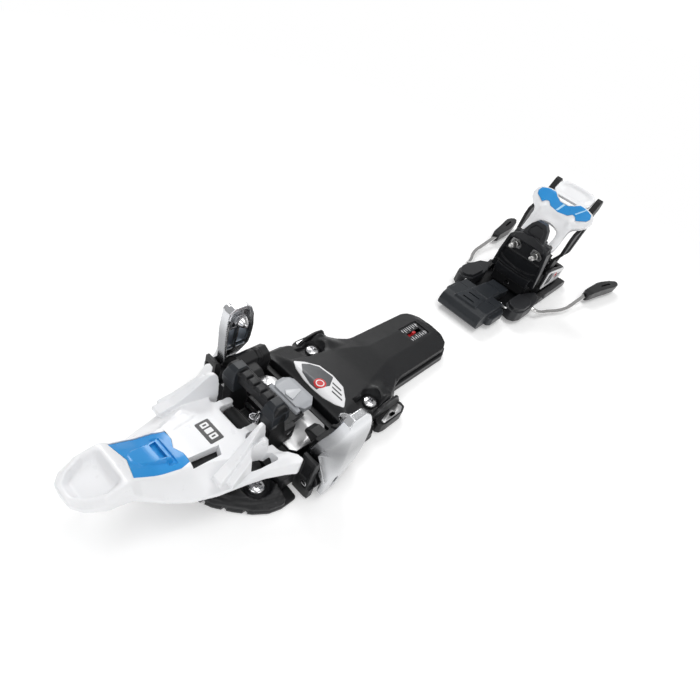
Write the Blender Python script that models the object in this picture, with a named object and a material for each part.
# Touring ski binding: toe unit and heel unit on one ski line.
# Sizes are in millimetres; meshes are written in metres.
# Frame: origin on the ski surface, on the centre line, under the toe pins.
# +X is across the ski, +Y runs from toe to heel (front is -Y), +Z is up.
import bpy
import bmesh
import math
from mathutils import Vector
from mathutils.geometry import tessellate_polygon

for old in list(bpy.data.objects):
    bpy.data.objects.remove(old, do_unlink=True)

# ---------------------------------------------------------------- dimensions
MM = 0.001
GAP = 0.35                    # clearance between neighbouring pieces
SIDES = ((-1, "l"), (1, "r"))  # sign of x and name ending
ALONG = (0, 1, 0)
UP = (0, 0, 1)
TURNED = 40                   # smoothing angle of turned pieces, degrees

PIN_R = 1.5                   # thin cross pins and their bores
PIN_BORE = PIN_R + GAP
AXLE_R = 2.0                  # heel cross axles and their bores
AXLE_BORE = AXLE_R + GAP
SCREW_HOLE_R = 2.7

# toe; an axis across the ski is given as (y, z)
TOE_PIN_X, TOE_PIN_Z = 38.5, 50.5
WING_AXIS_X, WING_AXIS_Z = 44.0, 9.5    # wing hinge, runs along Y
WING_AXLE_R = 1.95
LEVER_AXIS = (-33.0, 26.0)
PEDAL_AXIS = (-9.0, 19.0)
FRONT_SCREW = (29.0, -39.0)             # (x, y) on the +X side
REAR_SCREW = (27.6, 56.6)
PEDESTAL_TOP = 10.9
GUIDE_PLATE_TOP = 12.4
DECK_TOP = 6.0
SPRING_Z = 7.2                          # release spring axis height
CRAMPON_TOP = 6.8
# heel
HEEL_PIN_X, HEEL_PIN_Y, HEEL_PIN_Z = 11.5, 319.5, 50.8
YOKE_AXIS = (331.0, 56.0)
YOKE_TILT = math.radians(58)            # yoke plane above the ski
AID_AXIS = (352.0, 30.0)
BRAKE_AXIS = (304.0, 9.0)
BRAKE_PIN_AXIS = (298, 10.6)
ADJUST_Z = 9.5                          # length adjusting screw axis height
HEEL_SCREW_X = 14
HEEL_SCREW_ROWS = (("front", 285), ("rear", 404))   # name, y
CHEEK_INNER_X, CHEEK_OUTER_X = 23.8, 26.4
HEEL_PIVOT = (0, 350, 0)                # origin of carriage and tower


# ----------------------------------------------------------------- materials
def material(name, color, roughness, metallic=0.0):
    result = bpy.data.materials.new(name)
    result.use_nodes = True
    inputs = result.node_tree.nodes["Principled BSDF"].inputs
    inputs["Base Color"].default_value = (*color, 1.0)
    inputs["Roughness"].default_value = roughness
    inputs["Metallic"].default_value = metallic
    return result


def metal(name, color, roughness):
    return material(name, color, roughness, metallic=1.0)


WHITE = material("white_plastic", color=(0.86, 0.86, 0.88), roughness=0.32)
BLACK = material("black_plastic", color=(0.022, 0.023, 0.026), roughness=0.48)
DARK = material("dark_grey_plastic", color=(0.045, 0.048, 0.052), roughness=0.45)
BLUE = material("blue_plastic", color=(0.045, 0.22, 0.62), roughness=0.35)
GREY = material("light_grey_plastic", color=(0.42, 0.43, 0.45), roughness=0.45)
ALLOY = metal("satin_aluminium", color=(0.72, 0.73, 0.75), roughness=0.28)
STEEL = metal("polished_steel", color=(0.66, 0.66, 0.67), roughness=0.22)
PLATE = metal("brushed_steel", color=(0.6, 0.6, 0.62), roughness=0.3)
SPRING = metal("spring_steel", color=(0.4, 0.4, 0.42), roughness=0.35)
LABEL = material("white_label", color=(0.8, 0.8, 0.8), roughness=0.4)
RED = material("red_plastic", color=(0.6, 0.03, 0.03), roughness=0.4)


# ------------------------------------------------------------ outline tools
def rect(x0, x1, y0, y1):
    return [(x0, y0), (x1, y0), (x1, y1), (x0, y1)]


def other_half(half):
    return [(-x, y) for x, y in reversed(half) if x > 1e-6]


def mirrored(half):
    """closed outline from its +x half, listed front centre to rear centre"""
    return list(half) + other_half(half)


def on_side_plan(side, outline):
    """a +x outline moved to the given side, with its winding kept"""
    points = [(side * x, y) for x, y in outline]
    return points if side > 0 else points[::-1]


def grow(outline, distance):
    """counter-clockwise outline offset outwards, with mitred corners"""
    result = []
    for i, point in enumerate(outline):
        corner = Vector(point)
        arriving = corner - Vector(outline[i - 1])
        leaving = Vector(outline[(i + 1) % len(outline)]) - corner
        normal_in = Vector((arriving.y, -arriving.x)).normalized()
        normal_out = Vector((leaving.y, -leaving.x)).normalized()
        mitre = (normal_in + normal_out).normalized()
        result.append(tuple(corner + mitre * (distance / max(mitre.dot(normal_in), 0.3))))
    return result


def without_collinear(loop):
    """the loop without points that lie on the line between their neighbours"""
    kept = []
    for i, here in enumerate(loop):
        before = loop[i - 1]
        after = loop[(i + 1) % len(loop)]
        turn = ((here[0] - before[0]) * (after[1] - here[1])
                - (here[1] - before[1]) * (after[0] - here[0]))
        if abs(turn) > 1e-6:
            kept.append(here)
    return kept


def interpolate(table, at):
    """linear in a table of (position, value), held constant past its ends"""
    if at <= table[0][0]:
        return table[0][1]
    for (start, first), (end, last) in zip(table, table[1:]):
        if at <= end:
            return first + (last - first) * (at - start) / (end - start)
    return table[-1][1]


def clamp01(value):
    return min(max(value, 0), 1)


# --------------------------------------------------------------- mesh tools
def flat(across, along, depth):
    return (across, along, depth)


def yz(across, along, depth):       # plan drawn in (y, z), thickness along x
    return (depth, across, along)


def xz(across, along, depth):       # plan drawn in (x, z), thickness along y
    return (across, depth, along)


def finish(mesh):
    bmesh.ops.triangulate(mesh, faces=mesh.faces[:])
    bmesh.ops.recalc_face_normals(mesh, faces=mesh.faces[:])
    return mesh


def slab(outline, bottom, top, holes=(), cuts_u=(), cuts_v=(), place=flat):
    """Plan given a thickness; bottom and top are numbers or functions of
    the two plan coordinates. cuts_u and cuts_v split it at those coordinates."""
    loops = [without_collinear(loop) for loop in (outline, *holes)]
    points = [point for loop in loops for point in loop]
    triangles = tessellate_polygon([[Vector((p[0], p[1], 0)) for p in loop] for loop in loops])
    mesh = bmesh.new()
    low = [mesh.verts.new((p[0], p[1], 0)) for p in points]
    high = [mesh.verts.new((p[0], p[1], 1)) for p in points]
    for triangle in triangles:
        if len(set(triangle)) == 3:
            mesh.faces.new([high[i] for i in triangle])
            mesh.faces.new([low[i] for i in reversed(triangle)])
    first = 0
    for loop in loops:
        for i in range(len(loop)):
            j = first + i
            k = first + (i + 1) % len(loop)
            mesh.faces.new([low[j], low[k], high[k], high[j]])
        first += len(loop)
    for cuts, normal in ((cuts_u, Vector((1, 0, 0))), (cuts_v, Vector((0, 1, 0)))):
        for position in cuts:
            bmesh.ops.bisect_plane(mesh, geom=mesh.verts[:] + mesh.edges[:] + mesh.faces[:],
                                   dist=1e-4, plane_co=normal * position, plane_no=normal)
    for vert in mesh.verts:
        depth = top if vert.co.z > 0.5 else bottom
        if callable(depth):
            depth = depth(vert.co.x, vert.co.y)
        vert.co = Vector(place(vert.co.x, vert.co.y, depth))
    return finish(mesh)


def side_slab(side, near, far, outline):
    """(y, z) outline spanning x from near to far on the given side"""
    bottom, top = sorted((side * near, side * far))
    return slab(outline, bottom, top, place=yz)


def box(x0, x1, y0, y1, z0, z1, chamfer=0.0):
    """box with its upright edges chamfered"""
    if chamfer <= 0:
        return slab(rect(x0, x1, y0, y1), z0, z1)
    outline = [(x0 + chamfer, y0), (x1 - chamfer, y0), (x1, y0 + chamfer), (x1, y1 - chamfer),
               (x1 - chamfer, y1), (x0 + chamfer, y1), (x0, y1 - chamfer), (x0, y0 + chamfer)]
    return slab(outline, z0, z1)


def side_box(side, near, far, *rest):
    x0, x1 = sorted((side * near, side * far))
    return box(x0, x1, *rest)


def basis(direction):
    axis = Vector(direction).normalized()
    helper = Vector((0, 0, 1)) if abs(axis.z) < 0.9 else Vector((1, 0, 0))
    normal = axis.cross(helper).normalized()
    return normal, axis.cross(normal).normalized(), axis


def ring_point(centre, normal, binormal, radius, i, count):
    angle = 2 * math.pi * i / count
    return centre + (normal * math.cos(angle) + binormal * math.sin(angle)) * radius


def lathe(start, direction, profile, segments=16):
    """turned body: profile is a list of (radius, distance from start)"""
    normal, binormal, axis = basis(direction)
    start = Vector(start)
    mesh = bmesh.new()
    rows = []
    for radius, distance in profile:
        centre = start + axis * distance
        if radius < 1e-6:
            rows.append([mesh.verts.new(centre)])
        else:
            rows.append([mesh.verts.new(ring_point(centre, normal, binormal, radius, i, segments))
                         for i in range(segments)])
    for row, following in zip(rows, rows[1:]):
        for i in range(segments):
            j = (i + 1) % segments
            corners = [row[i % len(row)], row[j % len(row)],
                       following[j % len(following)], following[i % len(following)]]
            corners = list(dict.fromkeys(corners))
            if len(corners) >= 3:
                mesh.faces.new(corners)
    for row in (rows[0], rows[-1]):
        if len(row) > 1:
            mesh.faces.new(row)
    return finish(mesh)


def rod(start, end, radius, segments, chamfer=0.0):
    start, end = Vector(start), Vector(end)
    length = (end - start).length
    profile = [(radius, 0), (radius, length)]
    if chamfer > 0:
        profile = [(radius - chamfer, 0), (radius, chamfer),
                   (radius, length - chamfer), (radius - chamfer, length)]
    return lathe(start, end - start, profile, segments)


def rod_x(x0, x1, y, z, radius, segments=12, chamfer=0.0):
    return rod((x0, y, z), (x1, y, z), radius, segments, chamfer)


def rod_y(x, y0, y1, z, radius, segments=14, chamfer=0.0):
    return rod((x, y0, z), (x, y1, z), radius, segments, chamfer)


def rod_z(x, y, z0, z1, radius, segments=12):
    return rod((x, y, z0), (x, y, z1), radius, segments)


def cross_pin(half_length, axis, radius):
    return rod_x(-half_length, half_length, *axis, radius, chamfer=0.3)


def tube(path, radius, segments):
    """round wire along a path, ends closed"""
    path = [Vector(point) for point in path]
    last = len(path) - 1
    tangents = [(path[min(i + 1, last)] - path[max(i - 1, 0)]).normalized()
                for i in range(len(path))]
    mesh = bmesh.new()
    normal = basis(tangents[0])[0]
    rows = []
    for point, tangent in zip(path, tangents):
        normal = (normal - tangent * normal.dot(tangent)).normalized()
        binormal = tangent.cross(normal)
        rows.append([mesh.verts.new(ring_point(point, normal, binormal, radius, i, segments))
                     for i in range(segments)])
    for row, following in zip(rows, rows[1:]):
        for i in range(segments):
            j = (i + 1) % segments
            mesh.faces.new([row[i], row[j], following[j], following[i]])
    mesh.faces.new(rows[0])
    mesh.faces.new(rows[-1])
    return finish(mesh)


def coil(start, direction, radius, wire_radius, turns, length, steps=10, segments=5):
    """helical spring; steps are per turn, segments go round the wire"""
    normal, binormal, axis = basis(direction)
    start = Vector(start)
    count = turns * steps
    path = [ring_point(start + axis * (length * i / count), normal, binormal, radius, i, steps)
            for i in range(count + 1)]
    return tube(path, wire_radius, segments)


def on_side(side, mesh):
    """the +x mesh itself, or its mirror image for the -x side"""
    if side > 0:
        return mesh
    for vert in mesh.verts:
        vert.co.x = -vert.co.x
    bmesh.ops.reverse_faces(mesh, faces=mesh.faces[:])
    bmesh.ops.recalc_face_normals(mesh, faces=mesh.faces[:])
    return mesh


def link_object(name, mesh):
    data = bpy.data.meshes.new(name)
    mesh.to_mesh(data)
    mesh.free()
    result = bpy.data.objects.new(name, data)
    bpy.context.scene.collection.objects.link(result)
    return result


def combine(mesh, others, operation):
    """boolean of mesh with each of the others in turn; all inputs are used up"""
    target = link_object("tmp", mesh)
    temporary = [target]
    for other in others:
        operand = link_object("tmp", other)
        temporary.append(operand)
        modifier = target.modifiers.new("boolean", "BOOLEAN")
        modifier.operation = operation
        modifier.solver = "EXACT"
        modifier.object = operand
    bpy.context.view_layer.update()
    evaluated = target.evaluated_get(bpy.context.evaluated_depsgraph_get())
    result = bmesh.new()
    result.from_mesh(evaluated.to_mesh())
    evaluated.to_mesh_clear()
    for item in temporary:
        data = item.data
        bpy.data.objects.remove(item, do_unlink=True)
        bpy.data.meshes.remove(data)
    bmesh.ops.remove_doubles(result, verts=result.verts[:], dist=1e-4)
    bmesh.ops.dissolve_degenerate(result, edges=result.edges[:], dist=1e-4)
    bmesh.ops.triangulate(result, faces=result.faces[:])
    return result


def cut(mesh, *cutters):
    return combine(mesh, cutters, "DIFFERENCE")


def join(mesh, *others):
    return combine(mesh, others, "UNION")


def put(name, mesh, look, pivot=(0, 0, 0), smooth=None, tidy=True):
    """write the mesh as an object with its origin at pivot"""
    origin = Vector(pivot)
    if tidy:
        bmesh.ops.dissolve_limit(mesh, angle_limit=0.0035,
                                 verts=mesh.verts[:], edges=mesh.edges[:])
        bmesh.ops.triangulate(mesh, faces=mesh.faces[:])
    for vert in mesh.verts:
        vert.co = (vert.co - origin) * MM
    result = link_object(name, mesh)
    result.data.materials.append(look)
    result.location = origin * MM
    if smooth:
        result.data.shade_smooth()
        result.data.set_sharp_from_angle(angle=math.radians(smooth))


# ================================================================= TOE UNIT
# ---- base plate; half outlines are (x, y)
SOLE_HALF = [
    (0, -66), (15, -66), (23, -62), (31, -55.6), (38.6, -48.3), (43.5, -41), (45.5, -34),
    (45.8, -23), (30.5, -21.8), (30.5, 24.6), (42.5, 24.8), (43.3, 28), (43.3, 46), (40, 50.5),
    (35.4, 51.4), (35.4, 79), (30.8, 85), (26, 92), (26, 157), (22, 166), (12, 172), (0, 173)]
FRONT_BLOCK_HALF = [
    (0, -65.5), (14.8, -65.5), (22.7, -61.6), (30.6, -55.2), (38.1, -48), (43.0, -40.8),
    (45, -33.8), (45, -31)]
DECK_HALF = [
    (0, 25.2), (42.1, 25.2), (42.9, 28.2), (42.9, 45.7), (39.6, 50.1), (35.0, 51.0),
    (35.0, 78.6), (30.4, 84.6), (25.6, 91.6), (25.6, 156.6), (21.7, 165.6), (11.8, 171.6),
    (0, 172.6)]


def front_block_top(x, y):
    """level in the middle, sloping down towards the rim"""
    radius = math.hypot(x * 0.95, y + 24)
    return 4.5 + 8.0 * clamp01((44 - radius) / 16)


def adjust_screw_hole():
    return rod_y(0, 150, 180, SPRING_Z, 4.0, segments=16)


def build_base_plate():
    sole = slab(mirrored(SOLE_HALF), 0, 2.2)
    front = slab(mirrored(FRONT_BLOCK_HALF), 0.6, front_block_top,
                 cuts_u=range(-40, 41, 10), cuts_v=[-60, -54, -48, -42, -36])
    pedestal = box(-23.5, 23.5, -12.4, 18.6, 1.0, PEDESTAL_TOP)
    deck = slab(mirrored(DECK_HALF), 0.8, DECK_TOP)
    base = join(sole, front, pedestal, deck)
    bowls = [lathe((side * FRONT_SCREW[0], FRONT_SCREW[1], 6.0), UP, [(6.6, 0), (10.5, 9)], 20)
             for side in (1, -1)]
    holes = [rod_z(side * x, y, -1, 20, SCREW_HOLE_R)
             for side in (1, -1) for x, y in (FRONT_SCREW, REAR_SCREW)]
    channel = box(-7.6, 7.6, 40, 162, 1.3, 7)
    put("toe_base_plate", cut(base, *bowls, *holes, channel, adjust_screw_hole()), BLACK)


def build_guide_plate():
    outline = [(-27.2, -9), (-24, -12), (24, -12), (27.2, -9),
               (27.2, 14), (23, 18), (-23, 18), (-27.2, 14)]
    put("guide_plate", slab(outline, PEDESTAL_TOP + GAP, GUIDE_PLATE_TOP), PLATE)


def build_toe_screws():
    """cross-slotted screws; head_z is the underside of the head"""
    for row, (x, y), head_z in (("front", FRONT_SCREW, 6.4), ("rear", REAR_SCREW, 13.0)):
        for side, tag in SIDES:
            centre = side * x
            profile = [(2.3, 0), (2.3, head_z - 0.4), (5.2, head_z - 0.4),
                       (5.2, head_z + 1.0), (4.2, head_z + 2.2), (0, head_z + 2.6)]
            body = lathe((centre, y, 0.4), UP, profile)
            slots = [box(centre - half_x, centre + half_x, y - half_y, y + half_y,
                         head_z + 1.0, head_z + 4)
                     for half_x, half_y in ((3.0, 0.55), (0.55, 3.0))]
            put(f"screw_toe_{row}_{tag}", cut(body, join(*slots)), STEEL, (centre, y, 0), TURNED)


# ---- housing cover over the release spring
COVER_HALF = [                                      # (x, y)
    (0, 25.6), (20, 25.4), (36, 25.0), (43, 28.5), (43.2, 41), (37.2, 49), (35.2, 56),
    (34.2, 70), (31.5, 80), (26, 89), (23.5, 99), (23.5, 157), (20, 164), (12, 169.6), (0, 171)]
COVER_RIDGE_Z = [(25, 15.5), (33, 19), (66, 19), (96, 15.6), (158, 15.3), (171, 12.4)]  # (y, z)
COVER_EDGE_Z = [(25, 13.4), (70, 12.6), (171, 11.6)]                                    # (y, z)
COVER_RIDGE_X = [(25, 30), (33, 25), (60, 19), (98, 8.8), (171, 8.8)]   # (y, half width)
COVER_EDGE_X = [(25, 43), (45, 42), (52, 36), (70, 34.5), (80, 31.5), (92, 24.5), (171, 23.5)]
BADGE = [                                           # (x, y)
    (-23.5, 33.0), (-18, 30.6), (-9, 29.0), (0, 28.6), (9, 29.0), (18, 30.6), (23.5, 33.0),
    (19, 39), (11, 45.5), (0, 47.0), (-11, 45.5), (-19, 39)]
BADGE_POCKET_DEPTH = 1.3


def cover_top(x, y):
    """flat ridge falling in a straight slope to the edge"""
    ridge = interpolate(COVER_RIDGE_Z, y)
    ridge_x = interpolate(COVER_RIDGE_X, y)
    slope = clamp01((abs(x) - ridge_x) / (interpolate(COVER_EDGE_X, y) - ridge_x))
    return ridge + (interpolate(COVER_EDGE_Z, y) - ridge) * slope


def above_ridge(offset):
    return lambda x, y: cover_top(0, y) + offset


def build_housing_cover():
    cover = slab(mirrored(COVER_HALF), DECK_TOP + GAP, cover_top,
                 cuts_u=[-38, -30, -24, -16, -8.8, 0, 8.8, 16, 24, 30, 38],
                 cuts_v=[28, 33, 45, 60, 66, 80, 90, 98, 110, 134, 157, 165])
    x, y = REAR_SCREW
    recesses = [lathe((side * x, y, 12.55), UP, [(6.0, 0), (7.6, 8)], 20) for side in (1, -1)]
    holes = [rod_z(side * x, y, 5, 20, SCREW_HOLE_R) for side in (1, -1)]
    tunnel = box(-7.6, 7.6, 40, 162, 5, 13.2)
    window = box(-9, 7, 134, 157, 14.2, 20)
    slot = box(-2.2, 1.2, 137, 154, 12, 20)
    badge_pocket = slab(grow(BADGE, GAP), above_ridge(-BADGE_POCKET_DEPTH), 24, cuts_v=[33])
    cover = cut(cover, *recesses, *holes, tunnel, window, slot, adjust_screw_hole(),
                badge_pocket)
    put("toe_housing_cover", cover, BLACK)


def build_deck_badge():
    badge = slab(BADGE, above_ridge(GAP - BADGE_POCKET_DEPTH), above_ridge(0.15), cuts_v=[33])
    put("deck_badge", badge, LABEL)


# ---- release parts on the spring axis
def build_release_plunger():
    profile = [(5.0, 0), (5.6, 1), (5.6, 6), (3.0, 6.4), (3.0, 20)]
    put("release_plunger", lathe((0, 42, SPRING_Z), ALONG, profile), STEEL, smooth=TURNED)


def build_release_spring():
    spring = coil((0, 49.4, SPRING_Z), ALONG, radius=4.5, wire_radius=0.95, turns=11, length=80)
    put("release_spring", spring, SPRING, tidy=False)


def build_release_indicator():
    indicator = join(box(-5.2, 5.2, 141, 149, 3.2, 11.4), box(-1.6, 0.6, 143.4, 146.6, 11, 14.9))
    put("release_indicator", cut(indicator, rod_y(0, 130, 160, SPRING_Z, 3.0)), RED)


def build_release_adjust_screw():
    pivot = (0, 133, SPRING_Z)
    screw = lathe(pivot, ALONG, [(2.6, 0), (2.6, 32), (3.5, 32.4), (3.5, 38.6), (3.0, 39.2)])
    slot = box(-4, 4, 171.0, 173, SPRING_Z - 0.5, SPRING_Z + 0.5)
    put("release_adjust_screw", cut(screw, slot), STEEL, pivot, TURNED)


# ---- crampon brackets with steel inlays; outlines are (x, y)
CRAMPON_OUTLINE = [(35.8, 57), (38.6, 52.6), (41, 51.8), (43.6, 54), (44.4, 58), (44.2, 76),
                   (42, 81), (37, 82), (35.8, 79)]
CRAMPON_INLAY = [(37.2, 70), (40.2, 56.5), (43.2, 56.5), (43.3, 75), (41, 79.4), (37.4, 78.8)]
CRAMPON_HOLE = [(39.9, 65.6), (41.2, 64.4), (42.3, 65.6), (42.3, 69.6), (41.2, 71), (39.9, 69.6)]


def build_crampon_bracket(side, tag):
    bracket = slab(CRAMPON_OUTLINE, 0.0, CRAMPON_TOP, holes=[CRAMPON_HOLE])
    inlay = slab(CRAMPON_INLAY, CRAMPON_TOP + GAP, 8.3, holes=[CRAMPON_HOLE])
    put("crampon_bracket_" + tag, on_side(side, bracket), BLACK)
    put("crampon_inlay_" + tag, on_side(side, inlay), PLATE)


# ---- release carriage: frame around the guide plate, bridge and pivot blocks
# outlines are (y, z)
REAR_BLOCK = [(-19.2, 0.6), (-14.9, 0.6), (-14.9, 27), (-17, 30), (-19.2, 30)]
BRIDGE_LEG = [(-27, 12), (-14, 12), (-14, 24), (-17.6, 34), (-19.0, 42), (-28.8, 42), (-28.4, 30)]
BRIDGE_END = [(-29.2, 39), (-29.8, 45), (-28.8, 50.8), (-26.8, 52.6), (-21.2, 52.6),
              (-18.4, 48), (-18.4, 42), (-20.4, 39)]


def carriage_side(side):
    return [
        side_box(side, 35, 47.6, 19.9, 23.9, 3.6, 15.4, 1),
        side_slab(side, 37.2, 47.4, REAR_BLOCK),
        side_box(side, 38.6, 49.2, -18.6, -14.9, 0.6, 8),
        side_box(side, 36, 39, -19.2, -14.9, 3.6, 12),
        side_slab(side, 13.4, 19.8, BRIDGE_LEG),
        side_slab(side, 11.2, 20.2, BRIDGE_END),
        side_box(side, 15.6, 18.6, -15, -5.2, 13.4, 24)]    # pedal lug


def wing_axle_bore(side):
    return rod_y(side * WING_AXIS_X, -24, 30, WING_AXIS_Z, WING_AXLE_R + GAP)


def build_toe_carriage():
    beam = box(-37.5, 37.5, -30, -13.6, 3, 12.8, 2)
    frame = slab(rect(-37.5, 37.5, -16, 23.9), 3, 5.6, holes=[rect(-31.2, 31.2, -13.3, 19.4)])
    parts = [frame, box(-36, 36, 19.9, 23.9, 4, 10.6)]
    for side, _ in SIDES:
        parts += carriage_side(side)
    bridge = slab(rect(-13, 13, 44.4, 50.6), -27.4, -19.4, place=xz)
    for x in (-10.2, -5.0, 0.2, 5.4):       # ribs on the bridge
        parts.append(box(x, x + 3.8, -25.8, -20.2, 50, 52.2))
    boss = rod_x(-7.6, 7.6, *LEVER_AXIS, 4.8, segments=16)
    web = box(-7.4, 7.4, -30.4, -27, 11, 27)
    carriage = join(beam, bridge, boss, web, *parts)
    bores = [rod_x(-20, 20, *LEVER_AXIS, PIN_BORE), rod_x(-26, 26, *PEDAL_AXIS, PIN_BORE)]
    bores += [wing_axle_bore(side) for side, _ in SIDES]
    pocket = box(-12, 12, -26.4, -13, 12.0, 14)
    put("toe_carriage", cut(carriage, *bores, pocket), BLACK)


# ---- step-in pedal, its pin and the detent spring
def build_step_in_pedal():
    tread = slab([(-9, 3), (9, 3), (13, 7), (13, 13), (8.5, 18), (-8.5, 18), (-13, 13), (-13, 7)],
                 20.6, 25.6)
    neck = slab([(-12.8, 16.4), (-5.5, 16.4), (4, 21.5), (4, 25), (-6, 22.4), (-12.8, 21.6)],
                -14.8, 14.8, place=yz)
    pedal = cut(join(tread, neck), rod_x(-20, 20, *PEDAL_AXIS, PIN_BORE))
    pivot = (0, *PEDAL_AXIS)
    put("step_in_pedal", pedal, GREY, pivot)
    put("pedal_pin", cross_pin(18.4, PEDAL_AXIS, PIN_R), STEEL, pivot, TURNED)


def build_detent_spring():
    spring = coil((0, -20, 12.9), UP, radius=2.6, wire_radius=0.55, turns=6, length=10)
    put("detent_spring", spring, SPRING, tidy=False)


# ---- wings: alloy arm, black hub with claw, pin, axle
WING_PLAN = [                                       # (y, z)
    (-13.4, 5), (-12, 3.2), (-2, 3.2), (2, 5.6), (6, 10), (9.5, 17), (12.0, 25), (13.4, 32),
    (13.2, 42), (11.4, 51), (8.4, 57.2), (4.6, 59.8), (-4.4, 59.8), (-8.0, 57.6), (-9.4, 52),
    (-11.2, 44.6), (-13.2, 37), (-14.3, 30), (-14.2, 17)]
WING_INNER_X = [(2, 50.4), (15, 50.4), (27, 46.4), (60, 45.6)]                  # (z, x)
WING_OUTER_X = [(2, 53.6), (20, 54.0), (40, 53.6), (52, 52.8), (60.8, 50.2)]    # (z, x)
WING_CURL_SHARE = [(15.6, 0), (30, 1), (42, 0.62), (52, 0.25), (60, 0)]         # (z, share)
WING_CURL = 9.4
# recesses from the outside, (y, z) outlines: two side by side, one low down
WING_RECESSES = (
    (36, 50.0, [(-6.8, 31), (0.4, 31), (0.4, 43.6), (-5.8, 43.6)]),
    (36, 50.0, [(2.2, 31), (9.4, 31), (10.6, 36), (8.6, 43.6), (2.2, 43.6)]),
    (45, 60, [(-7.4, 7.6), (-3.2, 7.6), (-1.4, 13.2), (-5.2, 14.4)]))   # x from, x to, outline
HUB_OUTLINE = [                                     # (x, z)
    (49.7, 5), (49.7, 15.0), (42.0, 25.8), (38, 28.4), (32.5, 26), (30.8, 20), (31.6, 12.8),
    (38.4, 6.5), (41, 3.9), (47, 3.9)]
CLAW_OUTLINE = [(22.4, 19.4), (22.4, 21.6), (26, 24), (34, 24.4), (34, 15.2), (30, 16)]  # (x, z)


def wing_curl(y, z):
    """how far the front edge turns in towards the boot"""
    ramp = clamp01((-3.5 - y) / 10.8)
    return WING_CURL * ramp * ramp * (3 - 2 * ramp) * interpolate(WING_CURL_SHARE, z)


def wing_inner_x(y, z):
    return interpolate(WING_INNER_X, z) - wing_curl(y, z)


def wing_outer_x(y, z):
    rear_taper = 0.6 * (max(y, 0) / 14.0) ** 2
    return interpolate(WING_OUTER_X, z) - rear_taper - 1.06 * wing_curl(y, z)


def wing_arm():
    arm = slab(WING_PLAN, wing_inner_x, wing_outer_x,
               cuts_u=[-12, -10, -8, -6, -3.5, 0, 4, 9],
               cuts_v=[8, 15, 20, 25, 28, 34, 40, 47, 52, 56], place=yz)
    return cut(arm, rod_x(40, 49.4, 0, TOE_PIN_Z, 3.9, segments=16),
               *[slab(outline, x0, x1, place=yz) for x0, x1, outline in WING_RECESSES])


def wing_hub():
    body = slab(HUB_OUTLINE, -4.6, 18.9, place=xz)
    nose = rod_y(WING_AXIS_X, -14.3, 0, WING_AXIS_Z, 5.6, segments=16)
    claw = slab(CLAW_OUTLINE, -1, 7, place=xz)
    return cut(join(body, nose, claw), wing_axle_bore(1))


def build_wing(side, tag):
    pivot = (side * WING_AXIS_X, 0, WING_AXIS_Z)
    put("wing_" + tag, on_side(side, wing_arm()), ALLOY, pivot, smooth=35)
    put("wing_hub_" + tag, on_side(side, wing_hub()), BLACK, pivot)
    axle = rod_y(pivot[0], -18.9, 23.6, WING_AXIS_Z, WING_AXLE_R, chamfer=0.4)
    put("wing_axle_" + tag, axle, STEEL, pivot, TURNED)
    pin = lathe((side * TOE_PIN_X, 0, TOE_PIN_Z), (side, 0, 0),
                [(0.9, 0), (2.2, 1.6), (3.5, 4.6), (3.5, 10.4)], 18)
    put("toe_pin_" + tag, pin, STEEL, pivot, TURNED)


# ---- toe lever
LEVER_HALF = [                                      # (x, y)
    (0, -123.5), (6, -123), (10.5, -119.5), (14, -112), (14.6, -104), (15.6, -97), (19, -88),
    (24, -77), (27.6, -65), (31, -50), (33.6, -40), (38, -30), (41, -24.2), (40.4, -21.6),
    (36.5, -22.4), (31, -27.8), (24.5, -30.5), (24, -35), (14.8, -40.5), (12.6, -38),
    (12.6, -29.2), (8.6, -29.2), (8.6, -38.6), (7.0, -39.8), (0, -39.8)]
LEVER_HALF_WIDTH = [                                # (y, x)
    (-123.5, 6), (-121, 9), (-112, 14), (-101, 15.2), (-97, 15.6), (-88, 19), (-77, 24),
    (-65, 27.6), (-50, 31), (-40, 33.6), (-30, 38.4), (-24, 40.5)]
# heights, (y, z): top along the middle and edge, underside at the rim and within it
LEVER_CREST = [(-123.5, 44), (-118, 45.5), (-106, 43.6), (-101, 47), (-96, 44.5), (-86, 38),
               (-72, 34), (-40, 33.8), (-30, 33), (-22, 31)]
LEVER_EDGE = [(-123.5, 44), (-101, 42.5), (-97, 41), (-88, 36), (-77, 31.5), (-60, 29),
              (-40, 29), (-22, 31)]
LEVER_RIM = [(-123.5, 41.2), (-112, 38.5), (-101, 37), (-97, 36), (-88, 31), (-77, 25.5),
             (-65, 22), (-50, 20.5), (-40, 20), (-30, 20), (-22, 19.5)]
LEVER_CEILING = [(-123.5, 41.2), (-106, 38.4), (-96, 38.5), (-86, 32.4), (-72, 29.4),
                 (-40, 28.4), (-22, 26)]
LEVER_ARM = [                                       # (y, z)
    (-44, 27), (-44, 33.6), (-36, 33.6), (-32, 32.4), (-28.6, 28.5), (-28.6, 23.5), (-31, 21.4),
    (-35, 21.4), (-38, 24)]
LEVER_FIN = [                                       # (y, z)
    (-64, 30), (-64, 33), (-48, 41), (-37.5, 48.6), (-35.4, 48.6), (-34.8, 44), (-35.5, 30)]
LEVER_WINDOW = [(24.2, -44), (28.6, -48), (30.6, -42), (33.4, -31.6), (27.4, -33)]  # (x, y)
LEVER_SLOT = [(9.6, -67), (13.2, -68.2), (13.6, -57), (10.6, -55.4)]                # (x, y)
LEVER_DISH = [(-8, -118.5), (8, -118.5), (11, -112), (9.5, -104), (-9.5, -104), (-11, -112)]
INLAY_HALF = [                                      # (x, y)
    (0, -96.5), (11.4, -100.4), (11.6, -90), (11.6, -76), (10.4, -70.4), (5, -70.4), (0, -72.2)]
INLAY_Z = [(-123.5, 44), (-101, 47), (-96, 44.5), (-86, 38), (-72, 34), (-40, 33.8)]  # (y, z)
INLAY_POCKET_DEPTH = 1.4


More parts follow.
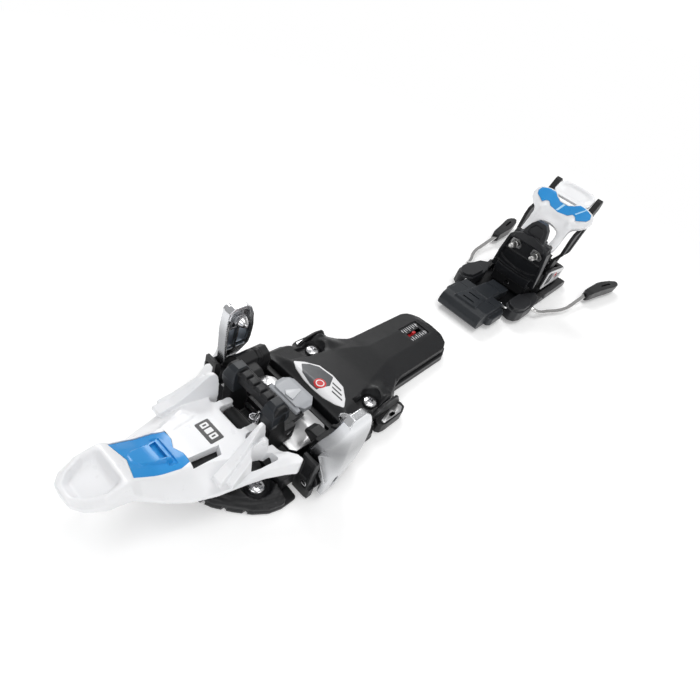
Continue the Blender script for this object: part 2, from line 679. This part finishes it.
def lever_spread(x, y):
    """0 on the centre line, 1 at the lever's edge"""
    return min(abs(x) / max(interpolate(LEVER_HALF_WIDTH, y), 1), 1)


def lever_top(x, y):
    crest = interpolate(LEVER_CREST, y)
    spread = lever_spread(x, y)
    if spread < 0.55:
        return crest
    return crest + (interpolate(LEVER_EDGE, y) - crest) * ((spread - 0.55) / 0.45) ** 1.3


def lever_bottom(x, y):
    rim = interpolate(LEVER_RIM, y)
    inner = min(interpolate(LEVER_CREST, y) - 4.2, interpolate(LEVER_CEILING, y))
    spread = lever_spread(x, y)
    if spread > 0.86:
        return rim
    if spread > 0.74:
        return inner + (rim - inner) * (spread - 0.74) / 0.12
    return inner


def above_inlay(offset):
    return lambda x, y: interpolate(INLAY_Z, y) + offset


def inlay_top(x, y):
    """raised to a ridge along the middle part"""
    ridge = 1.4 * max(0, 1 - abs(x) / 7) if -94 < y < -76 else 0
    return interpolate(INLAY_Z, y) + 0.5 + ridge


def build_toe_lever():
    lever = slab(mirrored(LEVER_HALF), lever_bottom, lever_top,
                 cuts_u=[-36, -30, -26, -22, -18, -14, -10, -5, 5, 10, 14, 18, 22, 26, 30, 36],
                 cuts_v=[-119, -112, -106, -101, -96, -90, -84, -77, -72, -65, -57, -50, -44,
                         -38, -34])
    added, removed = [], []
    for side, _ in SIDES:
        added += [side_slab(side, 8.6, 12.6, LEVER_ARM), side_slab(side, 16.8, 20.8, LEVER_FIN)]
        removed += [slab(on_side_plan(side, opening), 10, 60)
                    for opening in (LEVER_WINDOW, LEVER_SLOT)]
    removed += [
        rod_x(-20, 20, *LEVER_AXIS, PIN_BORE),
        slab(grow(mirrored(INLAY_HALF), GAP), above_inlay(-INLAY_POCKET_DEPTH), above_inlay(8),
             cuts_v=[-96, -86]),
        slab(LEVER_DISH, 42.2, 60)]
    put("toe_lever", cut(join(lever, *added), *removed), WHITE, (0, *LEVER_AXIS), smooth=35)


def build_toe_lever_fittings():
    inlay = slab(mirrored(INLAY_HALF), above_inlay(GAP - INLAY_POCKET_DEPTH), inlay_top,
                 cuts_u=[-7, 0, 7], cuts_v=[-96, -92, -86, -78])
    pivot = (0, *LEVER_AXIS)
    put("lever_inlay", inlay, BLUE, pivot)
    put("lever_axle", cross_pin(12.4, LEVER_AXIS, PIN_R), STEEL, pivot, TURNED)


# ================================================================ HEEL UNIT
# ---- rail screwed to the ski
RAIL_HALF = [(0, 272), (20, 272), (32, 280), (34, 290), (34, 410), (31, 417), (24, 420),
             (0, 420)]                                                          # (x, y)
RAIL_WALL = [(334, 1), (334, 9), (337, 11.4), (404, 11.4), (409, 8), (409, 1)]  # (y, z)


def build_heel_rail():
    walls = [side_slab(side, 27.6, 33.6, RAIL_WALL) for side, _ in SIDES]
    rail = join(slab(mirrored(RAIL_HALF), 0, 2.6), *walls, box(-23, 23, 414, 419.5, 1, 14))
    holes = [rod_z(side * HEEL_SCREW_X, y, -1, 8, SCREW_HOLE_R)
             for side, _ in SIDES for _, y in HEEL_SCREW_ROWS]
    put("heel_rail", cut(rail, rod_y(0, 400, 430, ADJUST_Z, 3.0), *holes), BLACK)


def build_heel_screws():
    profile = [(2.3, 0), (2.3, 2.7), (4.4, 2.7), (4.2, 4.0), (2.6, 4.4)]
    for side, tag in SIDES:
        for row, y in HEEL_SCREW_ROWS:
            x = side * HEEL_SCREW_X
            put(f"screw_heel_{row}_{tag}", lathe((x, y, 0.3), UP, profile, 14),
                STEEL, (x, y, 0), TURNED)


# ---- sliding carriage
HEEL_CARRIAGE_HALF = [(0, 318), (18, 318), (19.8, 321), (19.8, 340), (26.6, 342), (26.6, 395),
                      (22, 400), (0, 400)]                                      # (x, y)
CHEEK = [(341, 14), (336, 34), (344, 36), (392, 27), (398, 24), (399, 14)]      # (y, z)
SIDE_PLATE = [(341, 16.2), (338, 32.4), (344, 34), (390, 26), (390, 16.2)]      # (y, z)


def build_heel_carriage():
    carriage = join(slab(mirrored(HEEL_CARRIAGE_HALF), 5.4, 15.4),
                    *[side_slab(side, CHEEK_INNER_X, CHEEK_OUTER_X, CHEEK) for side, _ in SIDES],
                    box(-22, 22, 390, 397, 12, 24))
    rear_y = HEEL_SCREW_ROWS[1][1]
    clearances = [rod_z(side * HEEL_SCREW_X, rear_y, 4, 20, 5.2, segments=14)
                  for side, _ in SIDES]
    carriage = cut(carriage, rod_y(0, 290, 412, ADJUST_Z, 2.9), *clearances)
    put("heel_carriage", carriage, BLACK, HEEL_PIVOT)


def build_length_adjust_screw():
    pivot = (0, 318, ADJUST_Z)
    profile = [(2.5, 0), (2.5, 103.0), (4.4, 103.4), (4.4, 106.6), (3.6, 107.2)]
    slot = box(-5, 5, 424.3, 428, ADJUST_Z - 0.6, ADJUST_Z + 0.6)
    put("length_adjust_screw", cut(lathe(pivot, ALONG, profile, 14), slot), STEEL, pivot, TURNED)


def build_side_plate(side, tag):
    plate = side_slab(side, CHEEK_OUTER_X + GAP, 27.8, SIDE_PLATE)
    put("side_plate_" + tag, plate, LABEL)


# ---- tower
TOWER_BODY = [                                      # (y, z)
    (315.2, 16), (314.6, 30), (314.6, 60), (317, 63.5), (330, 63.5), (344, 50), (346, 16)]
TOWER_LUG = [(343, 17), (353, 22), (357.5, 27), (357.5, 33), (352, 37.5), (343, 40)]  # (y, z)
MASK_HALF = [(0, 18.3), (25.4, 18.3), (24.0, 38), (21.2, 57.5), (17.6, 61.4), (12, 62.9),
             (0, 62.9)]                                                         # (x, z)
MASK_FRONT_Y = [(18, 319.6), (38, 315.4), (57, 312.4), (64, 312.4)]             # (z, y)
MASK_RECESS_HALF = [(0, 24.6), (22.4, 24.6), (21.2, 38), (18.4, 55.4), (0, 57.2)]   # (x, z)
ARCH = [                                            # (x, z)
    (-11.6, 58.6), (-11.6, 68), (-8.4, 76), (-4, 80.8), (5, 80.8), (9.4, 76), (11.6, 68),
    (11.6, 58.6)]


def mask_front(x, z):
    return interpolate(MASK_FRONT_Y, z)


def heel_pin_socket(side):
    """upright bore and a mouth that widens to the front"""
    x = side * HEEL_PIN_X
    mouth = [(x - 4.4, 311), (x + 4.4, 311), (x + 3.4, 319), (x - 3.4, 319)]
    return [rod_z(x, HEEL_PIN_Y, HEEL_PIN_Z - 4.2, HEEL_PIN_Z + 4.2, 4.0, segments=16),
            slab(mouth, HEEL_PIN_Z - 3.9, HEEL_PIN_Z + 3.9)]


def build_heel_tower():
    tower = join(slab(TOWER_BODY, -19.4, 19.4, place=yz),
                 slab(mirrored(MASK_HALF), mask_front, 323.3, cuts_v=(24, 38, 57), place=xz),
                 slab(ARCH, 313.8, 321.5, place=xz),
                 *[side_slab(side, 13.8, 19.4, TOWER_LUG) for side, _ in SIDES])
    recess = slab(mirrored(MASK_RECESS_HALF), 300, lambda x, z: mask_front(x, z) + 3.0,
                  cuts_v=(30, 38, 55.4), place=xz)
    tower = cut(
        tower, recess,
        box(-16, 16, 323.5, 341, 10, 48.4),                 # spring chamber
        box(-9.2, 9.2, 323.6, 341, 47, 60.6),
        *heel_pin_socket(-1), *heel_pin_socket(1),
        *[side_box(side, 11.2, 30, 323.8, 350, 49.4, 70) for side in (1, -1)],
        rod_x(-30, 30, *YOKE_AXIS, AXLE_BORE),
        box(-7.2, 7.2, 312, 323, 66, 75.6),                 # arch window
        rod_z(0, 337, 55, 70, 4.0, segments=14),            # release screw hole
        rod_x(-40, 40, *AID_AXIS, AXLE_BORE))
    tower = cut(tower, box(-30, 30, 336, 350, 0, 15.4 + GAP))   # clears the carriage
    put("heel_tower", tower, DARK, HEEL_PIVOT)


def build_heel_pin(side, tag):
    centre = (side * HEEL_PIN_X, HEEL_PIN_Y, HEEL_PIN_Z)
    barrel = rod_z(centre[0], HEEL_PIN_Y, HEEL_PIN_Z - 3.6, HEEL_PIN_Z + 3.6, 3.4, segments=14)
    prong = lathe(centre, (0, -1, 0), [(2.6, 0), (2.7, 13.6), (2.7, 15.5), (1.7, 16.5)], 14)
    put("heel_pin_" + tag, join(barrel, prong), STEEL, centre, TURNED)


def build_heel_release():
    spring = coil((0, 332, 19), UP, radius=5.4, wire_radius=1.0, turns=7, length=27.6)
    put("heel_release_spring", spring, SPRING, tidy=False)
    pivot = (0, 337, 57.8)
    screw = lathe(pivot, UP, [(2.4, 0), (3.5, 0.4), (3.5, 7.6), (3.0, 8.4)], 14)
    slot = box(-4, 4, 336.5, 337.5, 65.2, 68)
    put("heel_release_screw", cut(screw, slot), STEEL, pivot, TURNED)


# ---- heel lever (yoke) with inlay; outlines are (x, distance up the plane)
YOKE_OUTER_HALF = [
    (11.6, -2.4), (13, -4.4), (17, -4.6), (18.8, -2.6), (20.0, 4), (20.0, 11.5), (19.8, 18.6),
    (20.0, 24), (21.6, 27.5), (26.4, 31), (30.4, 35), (32.2, 40), (30.8, 45.5), (28, 47.8),
    (20, 50.2), (13.4, 50.6), (9, 47), (4.5, 44.6)]
YOKE_INNER_HALF = [(0, 21.6), (3.6, 21.2), (9, 19.6), (11.8, 16.5), (12.6, 11), (12.0, 6)]
YOKE_INLAY_HALF = [
    (0, 34.0), (9.5, 35.6), (13.2, 38.8), (16.2, 38.2), (18.8, 35.2), (27.2, 39.6), (28.8, 43),
    (27.2, 46.6), (19.8, 49.0), (13.8, 49.4), (9.4, 45.9), (4.5, 43.4), (0, 43.4)]
YOKE_POCKET_FLOOR = 1.6


def yoke_plane(x, rise, normal):
    """rise runs up the sloping plane from the axis, normal towards the boot"""
    cosine, sine = math.cos(YOKE_TILT), math.sin(YOKE_TILT)
    return (x, YOKE_AXIS[0] + rise * cosine - normal * sine,
            YOKE_AXIS[1] + rise * sine + normal * cosine)


def build_heel_lever():
    pivot = (0, *YOKE_AXIS)
    outline = mirrored(YOKE_OUTER_HALF) + other_half(YOKE_INNER_HALF) + YOKE_INNER_HALF
    inlay = mirrored(YOKE_INLAY_HALF)
    yoke = cut(slab(outline, -3.2, 3.2, place=yoke_plane),
               slab(grow(inlay, GAP), YOKE_POCKET_FLOOR, 8, place=yoke_plane),
               rod_x(-30, 30, *YOKE_AXIS, AXLE_BORE))
    put("heel_lever", yoke, WHITE, pivot)
    put("heel_lever_inlay", slab(inlay, YOKE_POCKET_FLOOR + GAP, 3.9, place=yoke_plane),
        BLUE, pivot)
    put("heel_lever_axle", cross_pin(18.4, YOKE_AXIS, AXLE_R), STEEL, pivot, TURNED)


# ---- climbing aid: two arms, flap and axle
AID_ARM = [                                         # (y, z)
    (346, 26), (352, 23.6), (358, 27), (362.5, 38), (366, 50), (370.5, 70), (375, 84),
    (380.5, 98), (379.5, 105), (375, 108), (371.4, 106.4), (365.4, 98), (359.8, 90),
    (355.6, 84), (351.2, 79.2), (345.8, 77), (343.6, 70), (345, 50), (346.4, 38)]
AID_ARM_INNER_X = [(44, 19.95), (54, 24.3), (80, 24.3), (95, 19.95)]            # (z, x)
AID_ARM_THICKNESS = 3.25
AID_FLAP = [                                        # (y, z)
    (363.8, 93.8), (361.6, 95.6), (361.9, 98.2), (374, 107.7), (377.6, 107.9), (379, 105.6),
    (377.4, 103.2)]


def build_aid_arm(side, tag):
    def face(offset):
        return lambda y, z: side * (interpolate(AID_ARM_INNER_X, z) + offset)

    low, high = [face(0), face(AID_ARM_THICKNESS)][::side]
    arm = slab(AID_ARM, low, high, cuts_v=(44, 54, 80, 95), place=yz)
    arm = cut(arm, rod_x(-40, 40, *AID_AXIS, AXLE_BORE))
    put("aid_arm_" + tag, arm, BLACK, (0, *AID_AXIS))


def build_aid_flap_and_axle():
    pivot = (0, *AID_AXIS)
    put("aid_flap", slab(AID_FLAP, -19.6, 19.6, place=yz), WHITE, pivot)
    put("aid_axle", cross_pin(23.1, AID_AXIS, AXLE_R), STEEL, pivot, TURNED)


# ---- brake: pedal with pin, pads, wires, tips
BRAKE_TREAD = [                                     # (y, z)
    (220.6, 3.4), (217.6, 6), (217.4, 11), (220.4, 15.8), (227, 18.4), (262, 17.4), (266, 14.6),
    (266, 5), (262, 3.4)]
BRAKE_WIDE_HALF = [(0, 234), (24.4, 234), (26.6, 238), (26.6, 259), (22, 263.4), (0, 263.4)]
BRAKE_NECK = [                                      # (y, z)
    (258, 5), (258, 16.2), (280, 15.6), (290, 13.2), (301, 13.2), (302, 12), (302, 6.2)]
BRAKE_PAD = [                                       # (x, y)
    (20.4, 274), (24, 268), (31, 266), (36, 270), (38.4, 278), (38.4, 300), (36, 318),
    (30, 326), (27.4, 326), (22, 310), (20.4, 300)]
BRAKE_WIRE = [                                      # (x, y, z)
    (22, 304, 9), (37, 304, 9), (42.5, 306, 8.2), (45, 312, 6.4), (48.5, 326, 4.6),
    (54, 340, 4.4), (58.2, 361, 4.6), (61, 404, 8.6), (63, 430, 9.4)]
BRAKE_TIP = [                                       # (x, y)
    (57.4, 404.6), (60, 400), (64.5, 400), (70.5, 430), (77, 462), (75, 480), (71, 480),
    (66, 470), (59.6, 440)]
TIP_SOCKET = [(60.8, 396, 8.1), (61, 404, 8.6), (63.05, 430.6, 9.4)]            # (x, y, z)


def build_brake_pedal():
    pedal = join(slab(BRAKE_TREAD, -21.6, 21.6, place=yz),
                 slab(mirrored(BRAKE_WIDE_HALF), 4.6, 12.4),
                 slab(BRAKE_NECK, -9.5, 9.5, place=yz))
    grooves = [box(-6.5, 6.5, y, y + 2.4, 15.4, 22) for y in (225.6, 243)]
    pedal = cut(pedal, *grooves, rod_x(-12, 12, *BRAKE_PIN_AXIS, PIN_BORE))
    pivot = (0, *BRAKE_PIN_AXIS)
    put("brake_pedal", pedal, DARK, pivot)
    put("brake_pedal_pin", cross_pin(9.2, BRAKE_PIN_AXIS, PIN_R), STEEL, pivot, TURNED)


def build_brake_arm(side, tag):
    pad = cut(slab(BRAKE_PAD, 4.0, 17.6), rod_x(15, 45, *BRAKE_AXIS, 2.65))
    wire = tube(BRAKE_WIRE, 2.2, 10)
    tip = cut(slab(BRAKE_TIP, 4.2, 13.6), tube(TIP_SOCKET, 2.6, 10))
    pivot = (0, *BRAKE_AXIS)
    put("brake_pad_" + tag, on_side(side, pad), DARK, pivot)
    put("brake_wire_" + tag, on_side(side, wire), STEEL, pivot, smooth=60, tidy=False)
    put("brake_tip_" + tag, on_side(side, tip), BLACK, pivot)


# ==================================================================== BUILD
for build in (build_base_plate, build_guide_plate, build_toe_screws, build_housing_cover,
              build_deck_badge, build_release_plunger, build_release_spring,
              build_release_indicator, build_release_adjust_screw, build_toe_carriage,
              build_step_in_pedal, build_detent_spring, build_toe_lever,
              build_toe_lever_fittings, build_heel_rail, build_heel_screws,
              build_heel_carriage, build_length_adjust_screw, build_heel_tower,
              build_heel_release, build_heel_lever, build_aid_flap_and_axle,
              build_brake_pedal):
    build()
for build in (build_crampon_bracket, build_wing, build_side_plate, build_heel_pin,
              build_aid_arm, build_brake_arm):
    for side_sign, side_tag in SIDES:
        build(side_sign, side_tag)
